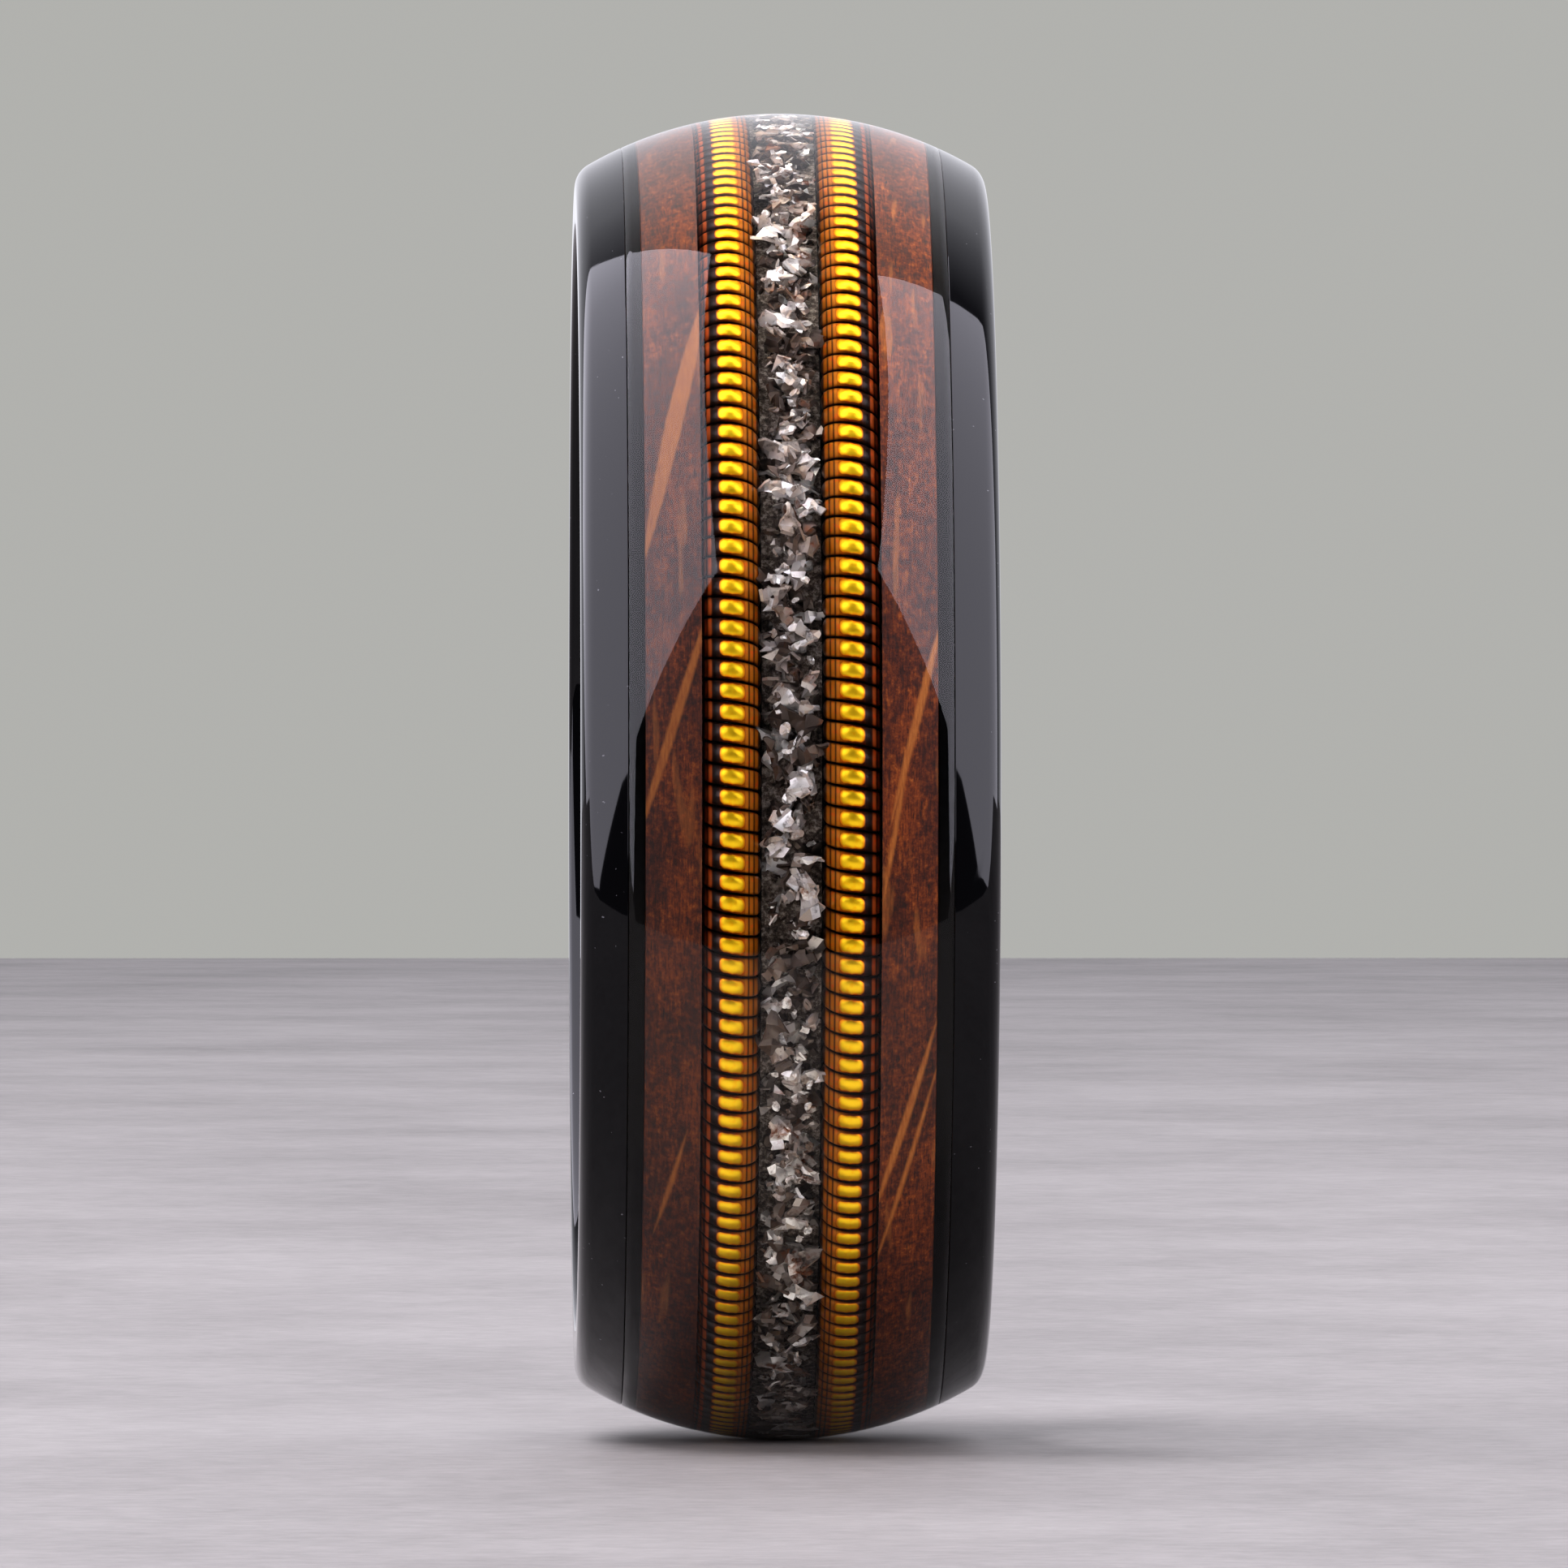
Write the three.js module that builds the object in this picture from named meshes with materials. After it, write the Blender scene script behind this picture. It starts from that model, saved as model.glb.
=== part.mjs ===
// A domed wedding band: a black ceramic ring whose outer channel holds two oak strips, two wound
// strings and a bed of metal shavings, all under one clear resin dome.
// Millimetres, +Z up. The ring stands on edge: its axis is X and its centre is the origin.

import * as THREE from 'three';

// ---- Driving dimensions ----

const bandWidth = 7.8;            // side face to side face, along X
const outerDiameter = 25.3;       // over the crown of the dome
const boreDiameter = 20.2;        // at the middle of the finger hole
const boreFlare = 0.45;           // how much the comfort-fit bore opens out at each side face
const domeRadius = 7.3;           // cross-section radius of the domed outside
const cornerRadius = 0.5;         // rounding between the dome and each side face

const channelHalfWidth = 3.02;    // the channel runs between plus and minus this
const channelFloor = 11.25;       // radius of the channel floor from the ring's axis

const oakInner = 1.65;            // an oak strip lies between these two distances from the middle
const oakOuter = 2.70;
const oakDepth = 0.15;            // clear resin over the oak
const seamDepth = 0.25;           // clear resin over the black seam

const stringCentre = 1.10;        // each string's distance from the middle
const stringRingRadius = 11.88;   // radius of the circle that a string's centreline follows
const stringDiameter = 1.06;      // over the winding
const coreDiameter = 0.36;        // over the corners of the hexagonal core
const stringEndGap = 0.12;        // between a string's two ends, where they meet behind

const shavingsHalfWidth = 0.55;   // the shavings lie between plus and minus this
const bedThickness = 0.22;        // dark resin under the shavings
const crownThickness = 0.28;      // solid clear resin over the shavings
const shavingCount = 36;
const shavingThickness = 0.12;

const clearance = 0.02;           // left between pieces that touch
const ringSteps = 60;             // straight sides in one turn of the ring
const stringSides = 8;            // straight sides round a string

// ---- Worked-out dimensions ----

const halfWidth = bandWidth / 2;
const crownRadius = outerDiameter / 2;
const boreRadius = boreDiameter / 2;
const domeCentre = crownRadius - domeRadius;

const halfGap = clearance / 2;
const inlayFloor = channelFloor + clearance;
const seamTop = domeAt(oakOuter) - seamDepth;
const stringRadius = stringDiameter / 2;
const bedTop = inlayFloor + bedThickness;
const crownUnderside = crownRadius - crownThickness;

// Radius of the domed outside at a distance x from the middle plane.
function domeAt(x) {
  return domeCentre + Math.sqrt(domeRadius ** 2 - x ** 2);
}

// ---- Materials ----

function material(color, roughness, metalness) {
  return new THREE.MeshStandardMaterial({ color, roughness, metalness });
}

function clearMaterial(color, roughness, opacity) {
  return new THREE.MeshStandardMaterial({ color, roughness, opacity, transparent: true });
}

const finishes = {
  ceramic: () => material(0x0b0c0f, 0.08, 0),
  adhesive: () => material(0x08080a, 0.35, 0),
  oak: () => material(0x6b3a1f, 0.55, 0),
  coreSteel: () => material(0x9a9a98, 0.3, 1),
  bronze: () => material(0xb8751f, 0.25, 1),
  darkResin: () => material(0x1b1a1c, 0.5, 0),
  shavingSteel: () => material(0xa5a3a6, 0.35, 1),
  clearResin: () => clearMaterial(0xf4f4f2, 0.03, 0.25),
};

// ---- Outlines: [x, radius] points of a cross-section, counter-clockwise with x to the right ----

// Points on an arc about (x, radius), from one angle to another in radians from +x.
function arc(x, radius, size, from, to, steps) {
  return Array.from({ length: steps + 1 }, (_, i) => {
    const angle = from + (to - from) * i / steps;
    return [x + size * Math.cos(angle), radius + size * Math.sin(angle)];
  });
}

// The stretch of the dome between two distances from the middle, as deep in the resin as is given.
function domeArc(fromX, toX, steps, depth = 0) {
  const from = Math.acos(fromX / domeRadius);
  const to = Math.acos(toX / domeRadius);
  return arc(0, domeCentre - depth, domeRadius, from, to, steps);
}

// The same outline on the other side of the middle plane, still counter-clockwise.
function mirrored(points) {
  return points.map(([x, radius]) => [-x, radius]).reverse();
}

// ---- Solids ----

const ring = new THREE.Group();

function addMesh(name, geometry, finish, group = ring) {
  const mesh = new THREE.Mesh(geometry, finish());
  mesh.name = name;
  group.add(mesh);
  return mesh;
}

// A closed outline turned once round the ring's axis.
function addTurned(name, outline, finish) {
  const closed = [...outline, outline[0]].reverse();
  const profile = closed.map(([x, radius]) => new THREE.Vector2(radius, x));
  const geometry = new THREE.LatheGeometry(profile, ringSteps);
  geometry.rotateZ(-Math.PI / 2);
  addMesh(name, geometry, finish);
}

// The black band: comfort-fit bore, flat side faces, rounded corners, dome and channel.
function ceramicBand() {
  const boreArcRadius = (halfWidth ** 2 + boreFlare ** 2) / (2 * boreFlare);
  const boreHalfAngle = Math.asin(halfWidth / boreArcRadius);
  const inward = -Math.PI / 2;
  const bore = arc(0, boreRadius + boreArcRadius, boreArcRadius,
    inward - boreHalfAngle, inward + boreHalfAngle, 4);

  // The corner's arc touches the side face and the dome, and both set its centre.
  const cornerX = halfWidth - cornerRadius;
  const cornerFromDome = Math.sqrt((domeRadius - cornerRadius) ** 2 - cornerX ** 2);
  const cornerEnd = Math.atan2(cornerFromDome, cornerX);
  const rightRim = [
    ...arc(cornerX, domeCentre + cornerFromDome, cornerRadius, 0, cornerEnd, 3),
    [channelHalfWidth, domeAt(channelHalfWidth)],
    [channelHalfWidth, channelFloor],
  ];
  addTurned('ceramic_band', [...bore, ...rightRim, ...mirrored(rightRim)], finishes.ceramic);
}

function edgeSeamOutline() {
  const inner = oakOuter + halfGap;
  const outer = channelHalfWidth - clearance;
  return [[inner, inlayFloor], [outer, inlayFloor], [outer, seamTop], [inner, seamTop]];
}

function oakOutline() {
  const inner = oakInner + halfGap;
  const outer = oakOuter - halfGap;
  return [[inner, inlayFloor], [outer, inlayFloor], ...domeArc(outer, inner, 2, oakDepth)];
}

// Straight sides over or under a string, whose middles stay clear of it by the clearance.
function roundString(from, to, steps) {
  const halfStep = Math.abs(to - from) / steps / 2;
  const size = (stringRadius + clearance) / Math.cos(halfStep);
  return arc(stringCentre, stringRingRadius, size, from, to, steps);
}

// Adhesive on the channel floor, with a round trough that the string lies in.
function stringBeddingOutline() {
  const inner = shavingsHalfWidth + halfGap;
  const outer = oakInner - halfGap;
  const lip = Math.PI / 6;
  const trough = roundString(-lip, lip - Math.PI, 3);
  const top = trough[0][1];
  return [[inner, inlayFloor], [outer, inlayFloor], [outer, top], ...trough, [inner, top]];
}

// The clear resin: the dome outside, and beneath it the shape of what it covers.
function resinDome() {
  const edge = channelHalfWidth - clearance;
  const step = oakOuter + halfGap;
  const roofStart = Math.PI / 9;
  const rightUnderside = [
    [shavingsHalfWidth, crownUnderside],
    ...roundString(Math.PI - roofStart, roofStart, 4),
    ...domeArc(oakInner - clearance, step, 2, oakDepth - clearance),
    [step, seamTop + clearance],
    [edge, seamTop + clearance],
  ];
  const dome = domeArc(edge, -edge, 8);
  addTurned('resin_dome', [...mirrored(rightUnderside), ...rightUnderside, ...dome],
    finishes.clearResin);
}

function shavingsBed() {
  const side = shavingsHalfWidth - halfGap;
  addTurned('shavings_bed', [[-side, inlayFloor], [side, inlayFloor], [side, bedTop], [-side, bedTop]],
    finishes.darkResin);
}

// ---- The wound strings ----

// Once round the ring, from one side of the meeting point behind to the other.
class StringLine extends THREE.Curve {
  constructor(x) {
    super();
    this.x = x;
  }

  getPoint(t) {
    const gapAngle = stringEndGap / stringRingRadius;
    const angle = gapAngle / 2 + t * (2 * Math.PI - gapAngle);
    const y = stringRingRadius * Math.cos(angle);
    const z = stringRingRadius * Math.sin(angle);
    return new THREE.Vector3(this.x, y, z);
  }
}

function polygonPath(path, size, sides) {
  for (let i = 0; i < sides; i += 1) {
    const angle = 2 * Math.PI * i / sides;
    const move = i === 0 ? 'moveTo' : 'lineTo';
    path[move](size * Math.cos(angle), size * Math.sin(angle));
  }
  path.closePath();
  return path;
}

function addBent(name, shape, x, finish) {
  const options = { steps: ringSteps, extrudePath: new StringLine(x), bevelEnabled: false };
  addMesh(name, new THREE.ExtrudeGeometry(shape, options), finish);
}

// A hexagonal core wire, and round it the winding as one sleeve.
function woundString(side, x) {
  const coreSides = 6;
  const core = polygonPath(new THREE.Shape(), coreDiameter / 2, coreSides);
  addBent(`string_core_${side}`, core, x, finishes.coreSteel);
  const sleeve = polygonPath(new THREE.Shape(), stringRadius, stringSides);
  sleeve.holes.push(polygonPath(new THREE.Path(), coreDiameter / 2 + clearance, coreSides));
  addBent(`string_winding_${side}`, sleeve, x, finishes.bronze);
}

// ---- The metal shavings ----

// A repeatable number between 0 and 1 for one trait of one shaving.
function vary(index, trait) {
  const wave = Math.sin(index * 12.9898 + trait * 78.233) * 43758.5453;
  return wave - Math.floor(wave);
}

function between(low, high, index, trait) {
  return low + (high - low) * vary(index, trait);
}

// A strip bent to an arc, as a lathe turning curls.
function curlShape(length, bend) {
  const radius = length / bend;
  const middle = Math.PI / 2;
  const outer = arc(0, -radius, radius + shavingThickness / 2, middle - bend / 2, middle + bend / 2, 4);
  const inner = arc(0, -radius, radius - shavingThickness / 2, middle + bend / 2, middle - bend / 2, 4);
  return new THREE.Shape([...outer, ...inner].map(([x, y]) => new THREE.Vector2(x, y)));
}

// A strip creased twice, as a torn chip folds.
function creasedShape(length, rise) {
  const lower = [[-0.5, 0], [-0.15, rise], [0.2, 0.2 * rise], [0.5, 0.9 * rise]]
    .map(([x, y]) => [x * length, y]);
  const upper = lower.map(([x, y]) => [x, y + shavingThickness]).reverse();
  return new THREE.Shape([...lower, ...upper].map(([x, y]) => new THREE.Vector2(x, y)));
}

function metalShaving(index) {
  const length = between(1.15, 1.6, index, 1);
  const width = between(0.38, 0.62, index, 2);
  const curled = index % 3 !== 0;
  const shape = curled
    ? curlShape(length, between(0.5, 1.3, index, 3))
    : creasedShape(length, between(0.1, 0.26, index, 3));
  const geometry = new THREE.ExtrudeGeometry(shape, { depth: width, bevelEnabled: false });

  // The strip's length lies along the channel, its bend stands outwards and its width lies across.
  const along = new THREE.Vector3(0, 1, 0);
  const outwards = new THREE.Vector3(0, 0, 1);
  const across = new THREE.Vector3(1, 0, 0);
  geometry.applyMatrix4(new THREE.Matrix4().makeBasis(along, outwards, across));
  geometry.center();

  const place = new THREE.Group();
  place.rotation.x = 2 * Math.PI * index / shavingCount;
  ring.add(place);
  const number = String(index + 1).padStart(2, '0');
  const mesh = addMesh(`metal_shaving_${number}`, geometry, finishes.shavingSteel, place);
  mesh.position.set(between(-0.08, 0.08, index, 4), 0, (bedTop + crownUnderside) / 2);
  mesh.rotation.set(between(-0.14, 0.14, index, 5), between(-0.2, 0.2, index, 6),
    between(-0.22, 0.22, index, 7));
}

// ---- Assembly ----

ceramicBand();
for (const side of ['left', 'right']) {
  const sign = side === 'left' ? -1 : 1;
  const turned = (outline) => (sign < 0 ? mirrored(outline) : outline);
  addTurned(`edge_seam_${side}`, turned(edgeSeamOutline()), finishes.adhesive);
  addTurned(`oak_strip_${side}`, turned(oakOutline()), finishes.oak);
  addTurned(`string_bedding_${side}`, turned(stringBeddingOutline()), finishes.adhesive);
  woundString(side, sign * stringCentre);
}
shavingsBed();
for (let index = 0; index < shavingCount; index += 1) {
  metalShaving(index);
}
resinDome();

export default ring;
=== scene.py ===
import math
import random

import bpy
from mathutils import Euler, Matrix, Vector


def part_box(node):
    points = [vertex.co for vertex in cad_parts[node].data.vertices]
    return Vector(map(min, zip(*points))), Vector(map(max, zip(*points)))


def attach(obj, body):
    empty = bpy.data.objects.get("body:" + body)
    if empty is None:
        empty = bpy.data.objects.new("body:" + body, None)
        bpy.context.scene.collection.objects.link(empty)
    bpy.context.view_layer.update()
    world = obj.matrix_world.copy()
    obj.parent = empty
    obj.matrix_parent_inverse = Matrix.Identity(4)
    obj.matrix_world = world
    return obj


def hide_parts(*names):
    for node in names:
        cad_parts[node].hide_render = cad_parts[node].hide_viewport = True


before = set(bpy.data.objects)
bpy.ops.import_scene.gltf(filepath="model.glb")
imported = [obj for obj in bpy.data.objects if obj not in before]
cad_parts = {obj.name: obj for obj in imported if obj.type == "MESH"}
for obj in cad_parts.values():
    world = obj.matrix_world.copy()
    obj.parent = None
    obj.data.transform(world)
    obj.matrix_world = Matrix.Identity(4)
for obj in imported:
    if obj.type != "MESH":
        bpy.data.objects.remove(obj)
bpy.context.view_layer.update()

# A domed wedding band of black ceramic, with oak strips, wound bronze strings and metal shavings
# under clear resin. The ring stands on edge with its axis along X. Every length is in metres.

MM = 0.001
TURN = 2 * math.pi
JOIN = 1e-7                      # corners closer than this are one corner


# ---- Sizes, most of them read from the frame ----

def reach_from_axis(node):
    """Smallest and largest distance of a CAD node's corners from the ring's axis."""
    reach = [math.hypot(v.co.y, v.co.z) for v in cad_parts[node].data.vertices]
    return min(reach), max(reach)


CLEARANCE = 0.02 * MM
HALF_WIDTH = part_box("ceramic_band")[1].x
BORE_RADIUS = reach_from_axis("ceramic_band")[0]
CROWN_RADIUS = reach_from_axis("resin_dome")[1]
CHANNEL_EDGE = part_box("resin_dome")[1].x + CLEARANCE
CHANNEL_FLOOR = reach_from_axis("shavings_bed")[0] - CLEARANCE
OAK_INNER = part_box("oak_strip_right")[0].x
OAK_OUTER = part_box("oak_strip_right")[1].x
STRING_RING = sum(reach_from_axis("string_winding_right")) / 2
STRING_CENTRE = (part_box("string_winding_right")[0].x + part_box("string_winding_right")[1].x) / 2
STRING_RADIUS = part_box("string_winding_right")[1].x - STRING_CENTRE + CLEARANCE
SHAVINGS_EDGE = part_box("shavings_bed")[1].x
BED_TOP = reach_from_axis("shavings_bed")[1]

DOME_RADIUS = 7.3 * MM           # cross-section radius of the outside
CORNER_RADIUS = 0.5 * MM         # between the dome and each side face
BORE_FLARE = 0.45 * MM           # how far the bore opens out at each side face
BORE_EDGE = 0.14 * MM            # rounding between the bore and each side face
OAK_DEPTH = 0.15 * MM            # clear resin over the oak
SEAM_DEPTH = 0.25 * MM           # clear resin over the black seams
JOINT_GROOVE = 0.02 * MM         # each side of the fine groove between resin and ceramic
DOME_CENTRE = CROWN_RADIUS - DOME_RADIUS

STRING_TURNS = 196
WIRE_HALF_WIDTH = 0.187 * MM     # the bronze wire of the windings
WIRE_HEIGHT = 0.30 * MM
WIRE_CROWN = 0.31 * MM           # radius of the wire's rolled top
CROWN_LEAN = math.radians(24)    # slope of the rolled top where the wire's shoulders begin
WIRE_STEPS = 20                  # steps in one turn of the winding
CORE_STEPS = 180                 # steps of a core and of the bedding under it, round the ring
BED_STEPS = 900                  # steps of the shavings bed, fine enough for its rough top
RING_STEPS = 360                 # steps of every other turned piece


def dome_at(x):
    """Radius of the outside at a distance x from the middle plane."""
    return DOME_CENTRE + math.sqrt(DOME_RADIUS ** 2 - x ** 2)


# ---- Colours ----

def colour(code, alpha=1.0):
    """A web colour as scene-linear red, green, blue and alpha."""
    parts = [int(code[i:i + 2], 16) / 255 for i in (0, 2, 4)]
    linear = [p / 12.92 if p <= 0.04045 else ((p + 0.055) / 1.055) ** 2.4 for p in parts]
    return (*linear, alpha)


# ---- Camera, lights and stage ----

CAMERA_DISTANCE = 400 * MM
CAMERA_SIDE_ANGLE = math.radians(-1.16)     # a little to the left, so that the left face just shows
CAMERA_AIM = Vector((0.097, 0, -0.14)) * MM
CAMERA_LENS = 481                # focal length in millimetres, on a sensor 36 mm wide


def camera():
    data = bpy.data.cameras.new("camera")
    data.sensor_width = 36
    data.lens = CAMERA_LENS
    data.clip_start = 1 * MM
    data.clip_end = 100
    cam = bpy.data.objects.new("camera", data)
    bpy.context.scene.collection.objects.link(cam)
    back = Vector((math.sin(CAMERA_SIDE_ANGLE), -math.cos(CAMERA_SIDE_ANGLE), 0))
    cam.location = back * CAMERA_DISTANCE
    cam.rotation_euler = (CAMERA_AIM - cam.location).to_track_quat("-Z", "Y").to_euler()
    bpy.context.scene.camera = cam


COOL_TINT = (0.90, 0.88, 1.0)
WARM_TINT = (1.0, 0.93, 0.82)
FLOOR_TINT = (0.92, 0.90, 0.96)
BACKWARDS, SIDEWAYS, UPWARDS = (0, 1, 0), (1, 0, 0), (0, 0, 1)


def softbox(name, corner, along_edge, across_edge, length, width, brightness, tint):
    """A large soft panel, from the place of one corner and the way its two edges run.

    It faces the ring. Brightness 1 looks white when seen directly.
    """
    along = Vector(along_edge).normalized()
    facing = along.cross(Vector(across_edge)).normalized()
    facing *= -1 if facing.dot(Vector(corner)) < 0 else 1
    across = along.cross(facing)
    middle = Vector(corner) + along * length / 2 + Vector(across_edge).normalized() * width / 2
    data = bpy.data.lights.new(name, "AREA")
    data.shape = "RECTANGLE"
    data.size = width
    data.size_y = length
    data.energy = brightness * math.pi * width * length
    data.color = tint
    light = bpy.data.objects.new(name, data)
    bpy.context.scene.collection.objects.link(light)
    turn = Matrix((across, along, facing)).transposed()
    light.matrix_world = Matrix.Translation(middle) @ turn.to_4x4()
    light.visible_camera = False
    return light


def shine(light, state, floors):
    """Has a light shine on the floor only, or on everything but the floor."""
    lit = bpy.data.collections.new(f"{light.name}_lit")
    for floor in floors:
        lit.objects.link(floor)
    for member in lit.collection_objects:
        member.light_linking.link_state = state
    light.light_linking.receiver_collection = lit


def ring_lights(floors):
    """Two soft panels that the ring mirrors and two fill lights that it does not."""
    panels = [
        softbox("softbox_left", (-0.179, -0.412, 0.304), (0.11, 0.93, 0.33),
                (-0.40, 0.36, -0.84), 0.58, 0.51, 3.9, COOL_TINT),
        softbox("softbox_right", (0.259, -0.444, 0.342), (-0.26, 0.96, 0.04),
                (0.51, 0.19, -0.84), 0.53, 0.60, 3.9, COOL_TINT),
    ]
    fills = [
        softbox("fill_above", (-0.25, -0.04, 0.5), BACKWARDS, SIDEWAYS, 0.5, 0.5, 8.0, WARM_TINT),
        softbox("fill_below", (-0.025, -0.040, -0.0126), BACKWARDS, SIDEWAYS, 0.029, 0.05, 0.7,
                WARM_TINT),
    ]
    for light in fills:
        light.visible_glossy = False
    for light in panels + fills:
        shine(light, "EXCLUDE", floors)


def floor_lights(floors):
    """A broad light over the floor, a smaller one that casts the shadow, and one from the front."""
    for light in (
        softbox("floor_light", (-0.9, -0.6, 0.8), BACKWARDS, SIDEWAYS, 1.8, 1.8, 0.6, FLOOR_TINT),
        softbox("floor_key", (-0.7, -0.3, 0.8), BACKWARDS, SIDEWAYS, 0.6, 0.6, 5.0, FLOOR_TINT),
        softbox("floor_fill", (-0.6, -0.6, 0), UPWARDS, SIDEWAYS, 0.5, 1.2, 2.8, FLOOR_TINT),
    ):
        shine(light, "INCLUDE", floors)


def studio_air():
    """A room that is dark at the front and pale behind, and plain grey where the camera sees it."""
    world = bpy.data.worlds.new("studio_air")
    bpy.context.scene.world = world
    world.use_nodes = True
    tree = world.node_tree
    tree.nodes.clear()
    direction = place_node(tree, "ShaderNodeTexCoord").outputs["Generated"]
    towards_back = place_node(tree, "ShaderNodeSeparateXYZ", {0: direction}).outputs["Y"]
    room = ramp(tree, calc(tree, "MULTIPLY_ADD", towards_back, 0.5, 0.5),
                [(0.2, colour("0c0c0e")), (0.55, colour("28282e")), (0.67, colour("38383c")),
                 (0.76, colour("bebec6")), (0.84, colour("eeeef6"))])
    seen = place_node(tree, "ShaderNodeLightPath").outputs["Is Camera Ray"]
    shade = blend_colours(tree, seen, room, colour("a9a9a6"))
    air = place_node(tree, "ShaderNodeBackground", {"Color": shade})
    place_node(tree, "ShaderNodeOutputWorld", {"Surface": air.outputs[0]})


def studio(floors):
    ring_lights(floors)
    floor_lights(floors)
    studio_air()
    bpy.context.scene.view_settings.view_transform = "Standard"
    bpy.context.scene.view_settings.look = "Medium High Contrast"


# ---- Modelling, as by hand ----

def put_down():
    """Leaves edit mode and lets go of everything."""
    if bpy.context.mode != "OBJECT":
        bpy.ops.object.mode_set(mode="OBJECT")
    bpy.ops.object.select_all(action="DESELECT")


def pick_up(obj):
    put_down()
    obj.select_set(True)
    bpy.context.view_layer.objects.active = obj
    return obj


def named(name):
    obj = bpy.context.object
    obj.name = name
    obj.data.name = name
    return obj


def apply_modifier(obj, kind, **settings):
    pick_up(obj)
    modifier = obj.modifiers.new(kind.lower(), kind)
    for key, value in settings.items():
        setattr(modifier, key, value)
    bpy.ops.object.modifier_apply(modifier=modifier.name)


def set_in_place(obj, matrix):
    """Moves and turns a piece by its object, then leaves that place in the mesh."""
    pick_up(obj)
    obj.matrix_world = matrix
    bpy.ops.object.transform_apply(location=True, rotation=True, scale=True)


def draw_outline(points):
    """One corner, drawn on from point to point into a closed outline, left in edit mode."""
    put_down()
    bpy.ops.mesh.primitive_plane_add(size=MM, enter_editmode=True)
    bpy.ops.mesh.merge(type="CENTER")
    bpy.ops.transform.translate(value=points[0])
    for here, there in zip(points, points[1:] + points[:1]):
        bpy.ops.mesh.extrude_vertices_move(TRANSFORM_OT_translate={"value": there - here})
    bpy.ops.mesh.select_all(action="SELECT")
    bpy.ops.mesh.remove_doubles(threshold=JOIN)


def turned(name, outline, steps=RING_STEPS):
    """A closed outline of (x, radius) pairs turned once round the ring's axis."""
    draw_outline([Vector((x, 0, radius)) for x, radius in outline])
    bpy.ops.mesh.spin(steps=steps, angle=TURN, center=(0, 0, 0), axis=(1, 0, 0))
    bpy.ops.mesh.select_all(action="SELECT")
    bpy.ops.mesh.remove_doubles(threshold=JOIN)
    bpy.ops.mesh.normals_make_consistent(inside=False)
    bpy.ops.object.mode_set(mode="OBJECT")
    piece = named(name)
    bpy.ops.object.shade_smooth_by_angle(angle=math.radians(35))
    return piece


def arc(x, radius, size, start, end, steps):
    """Points of a cross-section on an arc about (x, radius), between two angles from +X."""
    angles = [start + (end - start) * i / steps for i in range(steps + 1)]
    return [(x + size * math.cos(a), radius + size * math.sin(a)) for a in angles]


def dome_arc(from_x, to_x, steps, depth=0.0):
    start, end = math.acos(from_x / DOME_RADIUS), math.acos(to_x / DOME_RADIUS)
    return arc(0, DOME_CENTRE - depth, DOME_RADIUS, start, end, steps)


def mirrored(outline):
    return [(-x, radius) for x, radius in reversed(outline)]


def on_side(outline, side):
    return outline if side == "right" else mirrored(outline)


def finish_piece(piece, material, slot, *nodes):
    """Gives a piece its material and its body, and hides the CAD nodes that it stands for. The slot
    is not used.
    """
    piece.data.materials.clear()
    piece.data.materials.append(material)
    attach(piece, "root")
    if nodes:
        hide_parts(*nodes)
    return piece


# ---- Turned pieces ----

def ceramic_band(material):
    bore_arc = (HALF_WIDTH ** 2 + BORE_FLARE ** 2) / (2 * BORE_FLARE)
    bore_angle = math.asin((HALF_WIDTH - BORE_EDGE) / bore_arc)
    down = -math.pi / 2
    bore = arc(0, BORE_RADIUS + bore_arc, bore_arc, down - bore_angle, down + bore_angle, 24)
    edge_x, edge_radius = bore[-1]
    bore_edge = arc(edge_x, edge_radius + BORE_EDGE, BORE_EDGE, down + bore_angle, 0, 5)

    corner_x = HALF_WIDTH - CORNER_RADIUS
    corner_height = math.sqrt((DOME_RADIUS - CORNER_RADIUS) ** 2 - corner_x ** 2)
    corner_end = math.atan2(corner_height, corner_x)
    corner = arc(corner_x, DOME_CENTRE + corner_height, CORNER_RADIUS, 0, corner_end, 10)
    rim = dome_arc(corner[-1][0], CHANNEL_EDGE + JOINT_GROOVE, 6)[1:]
    groove = (CHANNEL_EDGE, dome_at(CHANNEL_EDGE) - JOINT_GROOVE)
    right = [*bore_edge[1:], *corner, *rim, groove, (CHANNEL_EDGE, CHANNEL_FLOOR)]
    outline = [*bore, *right, *mirrored(right)]
    return finish_piece(turned("black_band", outline), material, "black_ceramic", "ceramic_band")


def edge_seam(side, material):
    inner, outer = OAK_OUTER, CHANNEL_EDGE + CLEARANCE
    top = dome_at(OAK_OUTER) - SEAM_DEPTH
    outline = [(inner, CHANNEL_FLOOR), (outer, CHANNEL_FLOOR), (outer, top), (inner, top)]
    piece = turned(f"seam_{side}", on_side(outline, side))
    return finish_piece(piece, material, "black_adhesive", f"edge_seam_{side}")


def oak_strip(side, material):
    top = dome_arc(OAK_OUTER, OAK_INNER, 12, OAK_DEPTH)
    outline = [(OAK_INNER, CHANNEL_FLOOR), (OAK_OUTER, CHANNEL_FLOOR), *top]
    piece = turned(f"oak_{side}", on_side(outline, side))
    return finish_piece(piece, material, "oak", f"oak_strip_{side}")


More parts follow.
